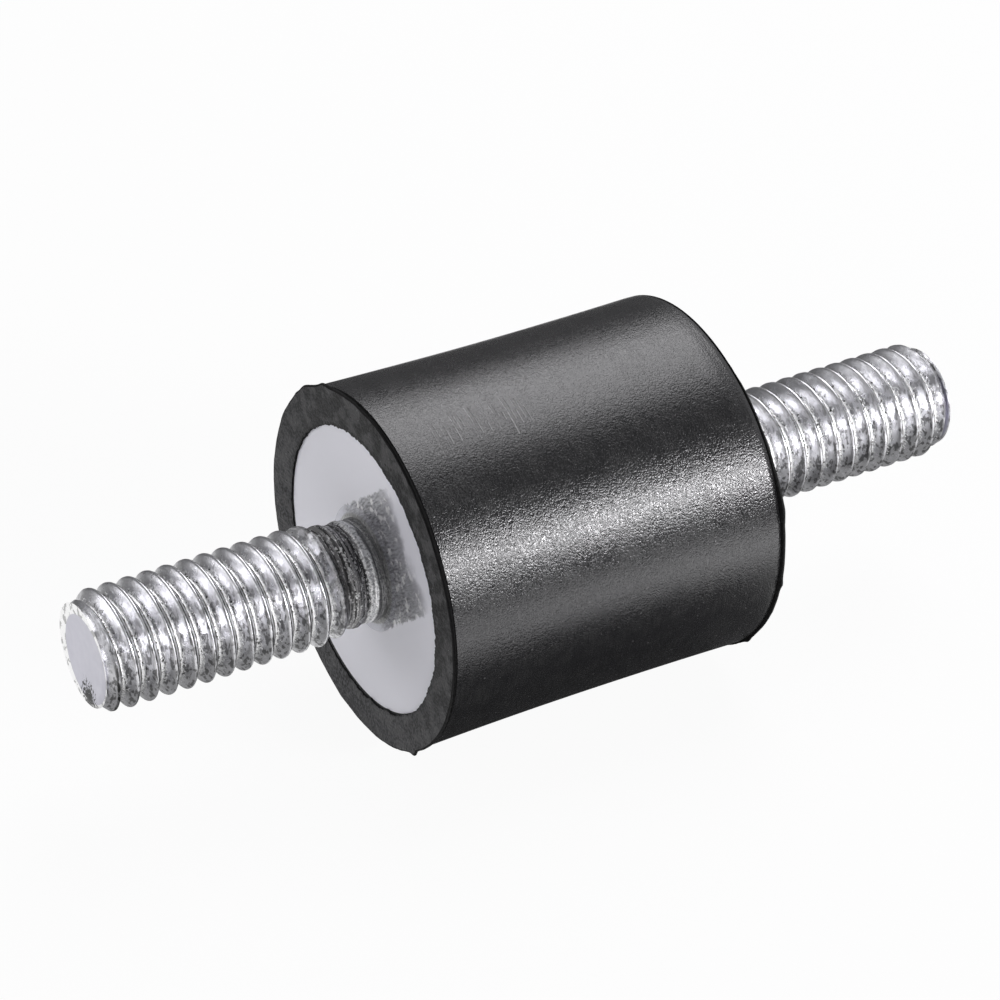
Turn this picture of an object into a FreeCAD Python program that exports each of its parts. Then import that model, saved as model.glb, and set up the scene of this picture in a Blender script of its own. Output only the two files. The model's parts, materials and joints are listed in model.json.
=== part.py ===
import FreeCAD, Part
import os

from FreeCAD import Vector

# Bobbin vibration mount with a male stud at each end, in millimetres.
# It lies on its rubber. The axis is +X and the origin is the centre of the rubber.
# The right end is drawn, and the left end is the same pieces turned round.

# Rubber body
seat_spacing = 18.2          # outer face of one plate to outer face of the other
body_diameter = 18.3         # rubber side, just inside the end lips
waist_depth = 0.12           # how far the side draws in at its middle, on the radius
seat_recess = 0.2            # how far the rubber end stands proud of the plate
lip_overhang = 0.1           # trimmed lip at each end, beyond the side, on the radius
lip_width = 0.35             # lip, along the axis
lip_chamfer = 0.1            # outer corner of the lip
cove_depth = 0.08            # fine groove between lip and side
cove_width = 0.3
recess_draft = 0.1           # how much the recess widens towards the end, on the radius

# Steel end plates
rim_wall = 1.65              # rubber around the edge of a plate
plate_thickness = 2.0
plate_edge_chamfer = 0.15    # broken edge, both faces

# Headed studs, pressed into the plates from the rubber side
thread_diameter = 6.0        # major diameter, M6
stud_length = 15.0           # plate face to tip
tip_diameter = 4.6           # flat end of the tip
tip_chamfer = 0.6            # along the axis
collar_step = 0.2            # pressed collar, larger than the thread on the radius
head_diameter = 9.5
head_thickness = 1.6
head_edge_chamfer = 0.4      # edge that faces the rubber

# Values that follow from the ones above
body_radius = body_diameter / 2
lip_radius = body_radius + lip_overhang
plate_radius = body_radius - rim_wall
thread_radius = thread_diameter / 2
collar_radius = thread_radius + collar_step
head_radius = head_diameter / 2
recess_radius = plate_radius - plate_edge_chamfer
seat = seat_spacing / 2
plate_back = seat - plate_thickness


def point(along, radius):
    return Vector(along, 0, radius)


def line(start, end):
    return Part.LineSegment(start, end).toShape()


def chain(points):
    """Straight edges from each point to the next."""
    return [line(start, end) for start, end in zip(points, points[1:])]


def turned(edges):
    """One full turn of a closed outline about the axis."""
    outline = Part.Wire(Part.sortEdges(edges)[0])
    return Part.Face(outline).revolve(Vector(0, 0, 0), Vector(1, 0, 0), 360)


def turned_round(shape):
    """The same piece at the left end."""
    copy = shape.copy()
    copy.rotate(Vector(0, 0, 0), Vector(0, 0, 1), 180)
    return copy


def body_end():
    """Outline of the rubber's right end: recess, end face, lip, cove and start of the side."""
    end = seat + seat_recess
    lip_back = end - lip_width
    return [
        point(seat, 0),
        point(seat, recess_radius),
        point(end, recess_radius + recess_draft),
        point(end, lip_radius - lip_chamfer),
        point(end - lip_chamfer, lip_radius),
        point(lip_back, lip_radius),
        point(lip_back - cove_width / 2, body_radius - cove_depth),
        point(lip_back - cove_width, body_radius),
    ]


def body_blank():
    """The rubber form before the steel is taken out of it, with its side drawn in to a waist."""
    right = body_end()
    left = [point(-p.x, p.z) for p in reversed(right)]
    side = Part.Arc(right[-1], point(0, body_radius - waist_depth), left[0]).toShape()
    axis = line(left[-1], right[0])
    return turned(chain(right) + [side] + chain(left) + [axis])


def end_plate():
    """Right plate: a punched disc with a bore for the stud's collar."""
    back, outward = point(plate_back, 0), Vector(1, 0, 0)
    plate = Part.makeCylinder(plate_radius, plate_thickness, back, outward)
    rims = [edge for edge in plate.Edges if edge.isClosed()]
    plate = plate.makeChamfer(plate_edge_chamfer, rims)
    return plate.cut(Part.makeCylinder(collar_radius, plate_thickness, back, outward))


def headed_stud():
    """Right stud: flat head, pressed collar, thread at its major diameter and tip."""
    head_end = plate_back - head_thickness
    tip = seat + stud_length
    corners = [
        point(head_end, 0),
        point(head_end, head_radius - head_edge_chamfer),
        point(head_end + head_edge_chamfer, head_radius),
        point(plate_back, head_radius),
        point(plate_back, collar_radius),
        point(seat, collar_radius),
        point(seat, thread_radius),
        point(tip - tip_chamfer, thread_radius),
        point(tip, tip_diameter / 2),
        point(tip, 0),
    ]
    return turned(chain(corners + corners[:1]))


def rubber_body(steel):
    """Rubber moulded round the plates and the stud heads."""
    body = body_blank()
    for piece in steel:
        body = body.cut(piece)
    return body


def one_solid(name, shape):
    """The only solid of a piece, checked before it is written."""
    if len(shape.Solids) != 1 or not shape.isValid():
        raise ValueError(f"{name} is not one valid solid")
    return shape.Solids[0]


def build():
    right_plate = end_plate()
    right_stud = headed_stud()
    pieces = {
        "right_plate": right_plate,
        "right_stud": right_stud,
        "left_plate": turned_round(right_plate),
        "left_stud": turned_round(right_stud),
    }
    pieces["rubber_body"] = rubber_body(list(pieces.values()))
    os.makedirs("parts", exist_ok=True)
    for name, shape in pieces.items():
        one_solid(name, shape).exportStep(f"parts/{name}.step")


build()
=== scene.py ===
import json
from functools import reduce
from math import cos, pi, radians, sin

import bpy
import numpy as np
from bpy.props import FloatProperty, FloatVectorProperty, IntProperty, PointerProperty
from mathutils import Matrix, Vector, noise


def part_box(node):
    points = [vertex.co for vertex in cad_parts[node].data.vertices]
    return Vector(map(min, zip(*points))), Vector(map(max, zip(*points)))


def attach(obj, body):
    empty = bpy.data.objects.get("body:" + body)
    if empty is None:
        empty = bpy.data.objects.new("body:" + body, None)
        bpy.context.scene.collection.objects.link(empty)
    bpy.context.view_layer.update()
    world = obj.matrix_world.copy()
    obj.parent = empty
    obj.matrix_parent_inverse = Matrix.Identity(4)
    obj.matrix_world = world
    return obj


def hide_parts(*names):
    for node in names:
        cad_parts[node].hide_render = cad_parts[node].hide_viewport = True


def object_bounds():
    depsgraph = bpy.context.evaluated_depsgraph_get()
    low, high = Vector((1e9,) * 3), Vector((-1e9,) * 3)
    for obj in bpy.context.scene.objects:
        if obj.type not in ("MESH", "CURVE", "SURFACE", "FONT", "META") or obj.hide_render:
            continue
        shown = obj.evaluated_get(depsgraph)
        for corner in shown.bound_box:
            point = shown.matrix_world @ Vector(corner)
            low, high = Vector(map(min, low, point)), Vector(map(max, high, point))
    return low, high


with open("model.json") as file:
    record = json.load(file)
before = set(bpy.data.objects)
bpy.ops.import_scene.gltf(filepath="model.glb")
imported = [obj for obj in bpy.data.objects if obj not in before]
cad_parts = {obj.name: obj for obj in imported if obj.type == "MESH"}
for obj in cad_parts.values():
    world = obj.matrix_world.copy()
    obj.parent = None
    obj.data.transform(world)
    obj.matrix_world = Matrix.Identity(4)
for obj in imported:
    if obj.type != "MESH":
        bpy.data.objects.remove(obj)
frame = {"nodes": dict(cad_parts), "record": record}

bl_info = {
    "name": "Bobbin Mount Finish",
    "version": (1, 0, 0),
    "blender": (4, 5, 0),
    "location": "3D View > Sidebar > Mount",
    "description": "Moulded rubber, rolled threads, plated discs and a small studio for a bobbin mount",
    "category": "Mesh",
}

MM = 0.001

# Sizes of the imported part. The axis is X, and distances along it are from the centre of the rubber.
cad_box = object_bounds()
rubber_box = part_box("rubber_body")
plate_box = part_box("right_plate")
stud_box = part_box("right_stud")
stud_mount = next(m for m in frame["record"]["mounts"] if m["name"] == "right_stud")

END = rubber_box[1].x
LIP_RADIUS = rubber_box[1].y
SEAT = plate_box[1].x
PLATE_BACK = plate_box[0].x
PLATE_RADIUS = plate_box[1].y
HEAD_END = stud_box[0].x
HEAD_RADIUS = stud_box[1].y
TIP = stud_box[1].x
THREAD_RADIUS = stud_mount["dims"]["r_mm"] * MM

HEAD_CHAMFER = 0.4 * MM
PLATE_CHAMFER = 0.15 * MM

LEFT = -1
RIGHT = 1

# Order of the rubber's materials
SIDE_FINISH = 0
END_FINISH = 1
EDGE_FINISH = 2


def length(name, description, default):
    """A size in metres, shown with enough digits for a part this small."""
    return FloatProperty(name=name, description=description, default=default, unit="LENGTH", precision=6)


def share(name, description, default):
    return FloatProperty(
        name=name, description=description, default=default, min=0.0, max=1.0, subtype="FACTOR"
    )


def brightness(name, description, default):
    return FloatProperty(name=name, description=description, default=default, min=0.0)


def colour(name, description, default):
    return FloatVectorProperty(
        name=name, description=description, default=default, size=3, min=0.0, max=1.0, subtype="COLOR"
    )


def angle(name, description, default):
    return FloatProperty(name=name, description=description, default=radians(default), subtype="ANGLE")


class RubberSettings(bpy.types.PropertyGroup):
    waist: length("Waist", "How far the side draws in at its middle", 0.12 * MM)
    lip_overhang: length("Lip overhang", "How far each trimmed lip stands out beyond the side", 0.10 * MM)
    lip_width: length("Lip width", "Width of each lip along the axis", 0.14 * MM)
    opening_shift: length("Opening shift", "How far each opening sits off the axis", 0.18 * MM)
    opening_side: angle("Opening side", "Direction of that shift, from the top towards the front", 215.0)
    lip_wave: length("Lip wave", "How far the trimmed lips wander in and out", 0.05 * MM)
    cove_depth: length("Cove depth", "Depth of the groove between lip and side", 0.10 * MM)
    cove_width: length("Cove width", "Width of the groove between lip and side", 0.14 * MM)
    face_relief: length("Face relief", "Unevenness of the trimmed end faces", 0.016 * MM)
    flash_reach: length("Flash reach", "How far ragged rubber laps over the edge of a plate", 0.06 * MM)
    side_colour: colour("Side colour", "Moulded side of the rubber", (0.006, 0.006, 0.0065))
    end_colour: colour("End colour", "Trimmed end faces of the rubber", (0.062, 0.062, 0.066))
    side_roughness: share("Side roughness", "Roughness of the side at its smoothest", 0.07)
    columns: IntProperty(name="Columns", description="Mesh points round the rubber", default=432, min=96)


class ThreadSettings(bpy.types.PropertyGroup):
    pitch: length("Pitch", "Distance from one turn of the thread to the next", 1.0 * MM)
    depth_share: share("Depth", "Depth of the thread as a share of its pitch", 0.6134)
    crest_share: share("Crest", "Flat of the crest as a share of the pitch", 0.14)
    root_share: share("Root", "Flat of the root as a share of the pitch", 0.17)
    rounding: share("Rounding", "Softness of crest and root as a share of the pitch", 0.035)
    left_start: share("Left start", "Place of the left thread's crest within a pitch, on top", 0.09)
    right_start: share("Right start", "Place of the right thread's crest within a pitch, on top", 0.52)
    collar_step: length("Collar step", "How much larger the pressed collar is than the thread", 0.2 * MM)
    tip_chamfer: length("Tip chamfer", "Length of the chamfer at the tip", 0.75 * MM)
    tip_radius: length("Tip radius", "Radius of the end at the tip", 2.28 * MM)
    dish_radius: length("Dish radius", "Radius of the flat in the middle of the tip", 1.62 * MM)
    dish_depth: length("Dish depth", "How far the flat lies below the rim of the tip", 0.06 * MM)
    residue_reach: length("Residue reach", "How far rough residue covers the thread", 3.0 * MM)
    left_residue: share("Left residue", "Strength of the residue on the left thread", 1.0)
    right_residue: share("Right residue", "Strength of the residue on the right thread", 0.4)
    columns: IntProperty(name="Columns", description="Mesh points round the thread", default=132, min=48)
    rows_per_pitch: IntProperty(name="Rows", description="Mesh rows for each turn", default=30, min=12)


class MetalSettings(bpy.types.PropertyGroup):
    # The two discs are the same zinc: the left disc's colour is painted lighter and the right disc's
    # painted darker, as lit and shaded copies.
    near_plate_colour_painted_light: colour("Plate colour", "Zinc plating on the left disc", (0.90, 0.90, 0.955))
    thread_colour: colour("Thread colour", "Zinc plating on the threads", (0.76, 0.76, 0.79))
    far_plate_colour_painted_shade: colour("Far plate colour", "Zinc plating on the right disc", (0.58, 0.58, 0.58))
    residue_colour: colour("Residue colour", "Rough residue by the plate", (0.36, 0.355, 0.355))
    tip_colour: colour("Tip colour", "Flat end of each stud", (0.62, 0.615, 0.68))
    seat_colour: colour("Seat colour", "Step of each collar, level with the disc", (0.56, 0.56, 0.61))
    plate_roughness: share("Plate roughness", "Roughness of the discs at their smoothest", 0.29)
    thread_roughness: share("Thread roughness", "Roughness of the threads at their smoothest", 0.26)
    # Side and reach of the painted reflection of the near stud on its disc.
    painted_reflection_direction: angle("Smear direction", "Side of the smear, from the top towards the front", 52.3)
    painted_reflection_reach: length("Smear reach", "How far the smear reaches from the axis", 5.55 * MM)


class StudioSettings(bpy.types.PropertyGroup):
    camera_azimuth: angle("Camera azimuth", "Direction the camera looks from, round the mount", -30.42)
    camera_elevation: angle("Camera elevation", "Height of the camera above the horizon", 31.46)
    camera_distance: length("Camera distance", "Camera to the middle of the mount", 182.7 * MM)
    aim_right: length("Aim right", "Aim point to the right of the rubber's centre, as seen", -1.275 * MM)
    aim_up: length("Aim up", "Aim point above the rubber's centre, as seen", 0.909 * MM)
    lens: FloatProperty(name="Lens", description="Focal length in millimetres", default=132.7, min=10.0)
    floor_size: length("Floor size", "Width of the floor", 4.0)
    overhead: brightness("Overhead", "Brightness of the overhead softbox", 4.6)
    strip: brightness("Strip", "Brightness of the low strip in front", 58.0)
    side_card: brightness("Side card", "Brightness of the card on the left", 2.0)
    floor_card: brightness("Floor card", "Brightness of the low card in front", 2.6)
    room: brightness("Room", "Brightness of the room around the lamps", 0.2)


def smooth_step(low, high, value):
    """0 up to low, 1 from high on, and a smooth rise between them."""
    share_of_way = np.clip((value - low) / (high - low), 0.0, 1.0)
    return share_of_way * share_of_way * (3.0 - 2.0 * share_of_way)


def column_angles(columns):
    """Angle of each column of mesh points round the axis."""
    return 2 * pi * np.arange(columns) / columns


def all_round(values, angles):
    """The value of each row, repeated at every angle."""
    return np.repeat(values[:, None], len(angles), axis=1)


def ring_noise(angles, frequency, seed):
    """Noise from -1 to 1 round a circle, which meets itself after one turn."""
    return np.array([noise.noise(Vector((frequency * cos(a), frequency * sin(a), seed))) for a in angles])


def surface_noise(along, radius, angles, scale, seed):
    """Noise from -1 to 1 at each point of a turned surface, with features about scale wide."""
    rows, columns = along.shape
    values = np.empty((rows, columns))
    y = -radius * np.sin(angles) / scale
    z = radius * np.cos(angles) / scale
    x = along / scale + seed
    for i in range(rows):
        values[i] = [noise.noise(Vector(p)) for p in zip(x[i], y[i], z[i])]
    return values


def turned_mesh(name, along, radius, band_materials):
    """Closed mesh round the X axis. Rows run from the left pole to the right pole, columns round it."""
    rows, columns = along.shape
    angles = column_angles(columns)
    grid = np.stack([along, -radius * np.sin(angles), radius * np.cos(angles)], axis=-1)
    inner = grid[1:-1].reshape(-1, 3)
    left_pole = [[along[0, 0], 0.0, 0.0]]
    right_pole = [[along[-1, 0], 0.0, 0.0]]
    vertices = np.concatenate([left_pole, inner, right_pole])
    ring = 1 + np.arange((rows - 2) * columns).reshape(rows - 2, columns)
    following = np.roll(ring, -1, axis=1)
    quads = np.stack([ring[:-1], following[:-1], following[1:], ring[1:]], axis=-1).reshape(-1, 4)
    last = len(vertices) - 1
    faces = [(0, b, a) for a, b in zip(ring[0], following[0])]
    faces += quads.tolist()
    faces += [(a, b, last) for a, b in zip(ring[-1], following[-1])]
    mesh = bpy.data.meshes.new(name)
    mesh.from_pydata(vertices.tolist(), [], [tuple(int(v) for v in face) for face in faces])
    mesh.polygons.foreach_set("material_index", np.repeat(band_materials, columns))
    mesh.polygons.foreach_set("use_smooth", np.ones(len(faces), dtype=bool))
    mesh.set_sharp_from_angle(angle=radians(50))
    mesh.validate()
    return mesh


def add_piece(name, mesh, materials, slot, *nodes):
    """Puts a piece in the scene, on the part's only body, in place of its solids."""
    piece = bpy.data.objects.new(name, mesh)
    for material in materials:
        mesh.materials.append(material)
    bpy.context.scene.collection.objects.link(piece)
    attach(piece, "root")
    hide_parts(*nodes)
    return piece


class Outline:
    """Rows of a turned surface at one end, from the axis outwards, each with the zone it belongs to."""

    def __init__(self, along, radius):
        self.along = [along]
        self.radius = [radius]
        self.zones = []

    def to(self, along, radius, steps=1, zone="hidden"):
        """Straight on to a distance from the part's centre and a radius."""
        start = self.along[-1], self.radius[-1]
        for i in range(1, steps + 1):
            self.along.append(start[0] + (along - start[0]) * i / steps)
            self.radius.append(start[1] + (radius - start[1]) * i / steps)
            self.zones.append(zone)

    def arrays(self):
        return np.array(self.along), np.array(self.radius), np.array(["hidden"] + self.zones)


# Marks on the trimmed lips: angle from the top towards the front, width in degrees, height outwards.
LEFT_LIP_MARKS = [
    (55.0, 50.0, -0.34 * MM),
    (321.0, 6.5, 0.17 * MM),
    (163.0, 22.0, 0.09 * MM),
    (337.0, 3.2, 0.13 * MM),
    (319.0, 2.4, -0.07 * MM),
    (300.0, 4.0, 0.05 * MM),
    (278.0, 5.0, 0.04 * MM),
    (148.0, 1.8, 0.20 * MM),
    (196.0, 3.0, 0.05 * MM),
]
RIGHT_LIP_MARKS = [
    (8.0, 38.0, -0.48 * MM),
    (52.0, 9.0, -0.10 * MM),
    (73.0, 8.0, 0.12 * MM),
    (105.0, 25.0, 0.05 * MM),
    (75.5, 3.5, 0.06 * MM),
    (101.5, 1.6, 0.10 * MM),
    (136.0, 2.0, 0.09 * MM),
    (331.0, 5.0, 0.03 * MM),
]

# Wear on the side's right corner, written the same way.
RIGHT_CORNER_WEAR = (24.0, 30.0, -0.12 * MM)

# Places where the rubber laps further over the left plate: angle, width in degrees, reach.
LEFT_FLASH_MARKS = [
    (176.0, 2.5, 0.14 * MM),
    (163.0, 3.0, 0.12 * MM),
    (116.0, 2.5, 0.12 * MM),
    (22.0, 2.0, 0.08 * MM),
]

# Where the left lip and its groove are thinnest: angle, width in degrees, share of their width lost.
LEFT_LIP_THIN = (60.0, 55.0, 0.55)

# Where the inner edge of the left face lies lower: angle, width in degrees, depth.
LEFT_INNER_DROP = (235.0, 70.0, 0.13 * MM)

# Raggedness of each opening's edge, and mesh rows along the side
MOUTH_FRAY = 0.07 * MM
SIDE_ROWS = 74


def swell(angles, direction, width):
    """1 at a direction, falling smoothly to 0 on both sides. Direction and width are in degrees."""
    away = (np.degrees(angles) - direction + 180.0) % 360.0 - 180.0
    return np.exp(-((away / width) ** 2))


def marks_round(angles, marks):
    """Sum of small rounded marks at their places round the axis."""
    total = np.zeros_like(angles)
    for direction, width, height in marks:
        total += height * swell(angles, direction, width)
    return total


def lip_narrowing(angles, side):
    """Share of the width of lip and groove that is left at each angle."""
    if side == RIGHT:
        return np.ones_like(angles)
    direction, width, loss = LEFT_LIP_THIN
    return 1.0 - loss * swell(angles, direction, width)


def rubber_end(settings):
    """Rows from the axis outwards: round the stud's head and the plate, then the end up to the side."""
    side_radius = LIP_RADIUS - settings.lip_overhang
    recess_radius = PLATE_RADIUS - PLATE_CHAMFER
    mouth_radius = recess_radius + 0.02 * MM
    lip_back = END - settings.lip_width
    corner = 0.10 * MM
    edge = 0.02 * MM
    flash_tip = 0.004 * MM
    flash_root = 0.03 * MM
    rows = Outline(HEAD_END, 0.0)
    rows.to(HEAD_END, HEAD_RADIUS - HEAD_CHAMFER)
    rows.to(HEAD_END + HEAD_CHAMFER, HEAD_RADIUS)
    rows.to(PLATE_BACK, HEAD_RADIUS)
    rows.to(PLATE_BACK, recess_radius)
    rows.to(PLATE_BACK + PLATE_CHAMFER, PLATE_RADIUS)
    rows.to(SEAT - PLATE_CHAMFER, PLATE_RADIUS)
    rows.to(SEAT, recess_radius)
    rows.to(SEAT + flash_tip, recess_radius - edge, 1, "flash")
    rows.to(SEAT + flash_root, recess_radius - 0.25 * edge, 1, "flash")
    rows.to(END - 0.03 * MM, mouth_radius - edge, 5, "wall")
    rows.to(END, mouth_radius + edge, 2, "face")
    rows.to(END, LIP_RADIUS - corner, 20, "face")
    for turn in (22.5, 45.0, 67.5, 90.0):
        arc = radians(turn)
        rows.to(END - corner * (1 - cos(arc)), LIP_RADIUS - corner * (1 - sin(arc)), 1, "lip")
    rows.to(lip_back, LIP_RADIUS - edge, 2, "lip")
    rows.to(lip_back - 0.4 * settings.cove_width, side_radius - settings.cove_depth, 2, "cove")
    rows.to(lip_back - 0.7 * settings.cove_width, side_radius - 0.6 * settings.cove_depth, 2, "cove")
    rows.to(lip_back - settings.cove_width, side_radius - 0.1 * settings.cove_depth, 1, "cove")
    return rows


def lip_trim(settings, side, angles, seed):
    """How far the trimmed lip stands out beyond its circle at each angle."""
    wander = settings.lip_wave * (
        0.7 * ring_noise(angles, 2.6, seed) + 0.5 * ring_noise(angles, 9.0, seed + 1) - 0.5
    )
    fray = 0.3 * settings.lip_wave * ring_noise(angles, 34.0, seed + 2)
    return wander + fray + marks_round(angles, LEFT_LIP_MARKS if side == LEFT else RIGHT_LIP_MARKS)


def flash_lap(settings, side, angles, seed):
    """How far ragged rubber laps over the plate at each angle."""
    lap = settings.flash_reach * np.clip(
        0.35 + 0.8 * ring_noise(angles, 7.0, seed + 3) + 0.7 * ring_noise(angles, 26.0, seed + 4), 0.0, 1.0
    )
    return lap + marks_round(angles, LEFT_FLASH_MARKS if side == LEFT else [])


def torn_opening(settings, side, angles, seed, rows):
    """How far each row of the opening lies further out: off the axis, torn, and less where it laps."""
    base_along, base_radius, zones = rows
    opening = np.isin(zones, ["flash", "wall"]) | ((zones == "face") & (base_radius < PLATE_RADIUS))
    shifted = settings.opening_shift * np.cos(angles - settings.opening_side)
    torn = MOUTH_FRAY * (ring_noise(angles, 22.0, seed + 9) + ring_noise(angles, 60.0, seed + 10))
    recess_radius = base_radius[zones == "flash"][0]
    lap_share = 1.0 - smooth_step(recess_radius, recess_radius + 0.12 * MM, base_radius)
    lap_share *= np.isin(zones, ["flash", "wall"])
    outwards = opening[:, None] * shifted
    outwards += (opening & (base_along > SEAT + 0.1 * MM))[:, None] * torn
    return outwards - lap_share[:, None] * flash_lap(settings, side, angles, seed)


def rubber_end_grid(settings, side, angles):
    """One end of the rubber with its uneven trim. Returns distance, radius and material of each row."""
    rows = rubber_end(settings).arrays()
    base_along, base_radius, zones = rows
    along = all_round(base_along, angles)
    radius = all_round(base_radius, angles)
    seed = 3.7 if side == LEFT else 8.1

    lip_share = smooth_step(LIP_RADIUS - 0.5 * MM, LIP_RADIUS - 0.1 * MM, base_radius)
    lip_share *= np.isin(zones, ["face", "lip"])
    radius += lip_share[:, None] * lip_trim(settings, side, angles, seed)
    radius += torn_opening(settings, side, angles, seed, rows)
    if side == RIGHT:
        radius += np.isin(zones, ["cove"])[:, None] * marks_round(angles, [RIGHT_CORNER_WEAR])
    else:
        recess_radius = base_radius[zones == "flash"][0]
        inner = 1.0 - smooth_step(recess_radius, recess_radius + 1.2 * MM, base_radius)
        raised = np.clip((base_along - SEAT) / (END - SEAT), 0.0, 1.0)
        along -= (inner * raised)[:, None] * marks_round(angles, [LEFT_INNER_DROP])

    face = zones == "face"
    relief = surface_noise(along[face], radius[face], angles, 0.55 * MM, seed)
    relief += 0.6 * surface_noise(along[face], radius[face], angles, 0.24 * MM, seed + 5)
    along[face] += settings.face_relief * (relief - 1.0)
    edge_drop = 0.01 * MM * (ring_noise(angles, 12.0, seed + 6) - 1.0)
    along += np.isin(zones, ["lip"])[:, None] * edge_drop
    behind_face = np.isin(zones, ["lip", "cove"])
    along[behind_face] = END - (END - along[behind_face]) * lip_narrowing(angles, side)

    limit = LIP_RADIUS / np.maximum(np.abs(np.sin(angles)), np.abs(np.cos(angles)))
    radius = np.minimum(radius, limit)
    finish = np.where(np.isin(zones[1:], ["lip", "cove", "wall"]), EDGE_FINISH, END_FINISH)
    return along, radius, finish


def rubber_mesh(settings):
    """The moulded rubber as one closed skin, with pockets for the plates and the stud heads."""
    angles = column_angles(settings.columns)
    left_along, left_radius, left_finish = rubber_end_grid(settings, LEFT, angles)
    right_along, right_radius, right_finish = rubber_end_grid(settings, RIGHT, angles)
    side_radius = LIP_RADIUS - settings.lip_overhang
    side_end = END - settings.lip_width - settings.cove_width
    side_along = side_end * np.linspace(-1.0, 1.0, SIDE_ROWS + 1)[1:-1]
    drawn_in = settings.waist * (1.0 - (side_along / side_end) ** 2)
    side_grid = all_round(side_along, angles)
    left_gain = (END - side_end) * (1.0 - lip_narrowing(angles, LEFT))
    side_grid -= smooth_step(0.0, -side_end, side_along)[:, None] * left_gain
    side = all_round(side_radius - drawn_in, angles)
    side += 0.006 * MM * surface_noise(side_grid, side, angles, 5.0 * MM, 2.2)
    worn_corner = marks_round(angles, [RIGHT_CORNER_WEAR])
    side += smooth_step(side_end - 1.0 * MM, side_end, side_along)[:, None] * worn_corner
    along = np.concatenate([-left_along, side_grid, right_along[::-1]])
    radius = np.concatenate([left_radius, side, right_radius[::-1]])
    bands = np.concatenate([left_finish, np.full(SIDE_ROWS, SIDE_FINISH), right_finish[::-1]])
    return turned_mesh("moulded_rubber", along, radius, bands)


def thread_outline(settings, samples=512):
    """Depth of the thread across one pitch, from the middle of a crest, softened at crest and root."""
    across = (np.arange(samples) / samples + 0.5) % 1.0 - 0.5
    flank = (1.0 - settings.crest_share - settings.root_share) / 2
    depth = np.clip((np.abs(across) - settings.crest_share / 2) / flank, 0.0, 1.0)
    window = np.exp(-0.5 * (across / settings.rounding) ** 2)
    softened = np.real(np.fft.ifft(np.fft.fft(depth) * np.fft.fft(window / window.sum())))
    return np.arange(samples + 1) / samples, np.append(softened, softened[0])


def stud_outline(settings):
    """Rows of a stud from the middle of its head to the middle of its dished tip."""
    collar_radius = THREAD_RADIUS + settings.collar_step
    rim = 0.1 * MM
    thread_end = TIP - 0.04 * MM
    steps = int(settings.rows_per_pitch * (thread_end - SEAT) / settings.pitch)
    rows = Outline(HEAD_END, 0.0)
    rows.to(HEAD_END, HEAD_RADIUS - HEAD_CHAMFER, 2)
    rows.to(HEAD_END + HEAD_CHAMFER, HEAD_RADIUS)
    rows.to(PLATE_BACK, HEAD_RADIUS, 2)
    rows.to(PLATE_BACK, collar_radius, 2)
    rows.to(SEAT, collar_radius, 3)
    rows.to(SEAT, THREAD_RADIUS, 1)
    rows.to(thread_end, THREAD_RADIUS, steps, "thread")
    rows.to(TIP, settings.tip_radius - rim, 2, "tip")
    rows.to(TIP - settings.dish_depth, settings.dish_radius, 4, "tip")
    rows.to(TIP - settings.dish_depth, 0.0, 3, "tip")
    return rows


def rolled_thread(settings, along, turn, residue):
    """Radius of the thread, which is worn flat under the residue and runs into a cone at the tip."""
    places, depths = thread_outline(settings)
    depth = settings.depth_share * settings.pitch * np.interp(turn % 1.0, places, depths)
    from_seat = along - SEAT
    worn = residue * (1.0 - smooth_step(1.2 * MM, 3.4 * MM, from_seat))
    run_out = smooth_step(-0.4 * MM, 1.6 * MM, from_seat)
    cut = (1.0 - worn) * depth * (0.45 + 0.55 * run_out)
    grooved = THREAD_RADIUS - cut - worn * (0.36 * MM + 0.12 * depth)
    from_tip = TIP - along
    cone = settings.tip_radius + (THREAD_RADIUS - settings.tip_radius) * from_tip / settings.tip_chamfer
    return np.minimum(grooved, cone)


def thread_skin(settings, along, radius, angles, residue, seed):
    """Height of the fine wear on a thread, and of the rough residue near the plate."""
    fine = surface_noise(along, radius, angles, 0.45 * MM, seed)
    coarse = surface_noise(along, radius, angles, 1.3 * MM, seed + 3)
    crust = surface_noise(along, radius, angles, 0.16 * MM, seed + 7)
    ridges = np.array([noise.noise(Vector((x / (0.22 * MM), seed, 0.0))) for x in along[:, 0]])
    reach = settings.residue_reach
    near_plate = 1.0 - smooth_step(0.5 * reach, reach, along - SEAT)
    wear = 0.010 * MM * fine + 0.014 * MM * coarse - 0.018 * MM
    rough = crust + 0.6 * fine + 2.0 * ridges[:, None] - 0.5
    return wear + residue * near_plate * 0.022 * MM * rough


def stud_mesh(settings, side, start, residue, name):
    """Headed stud with a right-hand rolled thread, a dished tip and rough residue by the plate."""
    angles = column_angles(settings.columns)
    base_along, base_radius, zones = stud_outline(settings).arrays()
    along = all_round(base_along, angles)
    radius = all_round(base_radius, angles)
    seed = 21.0 if side == LEFT else 34.0

    threaded = zones == "thread"
    thread_along = along[threaded]
    turn = side * thread_along / settings.pitch - start - angles / (2 * pi)
    grooved = rolled_thread(settings, thread_along, turn, residue)
    grooved = grooved + thread_skin(settings, thread_along, grooved, angles, residue, seed)
    radius[threaded] = np.minimum(grooved, THREAD_RADIUS)

    along = side * along
    if side == LEFT:
        along, radius = along[::-1], radius[::-1]
    bands = np.zeros(len(base_along) - 1, dtype=int)
    return turned_mesh(name, along, radius, bands)


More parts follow.
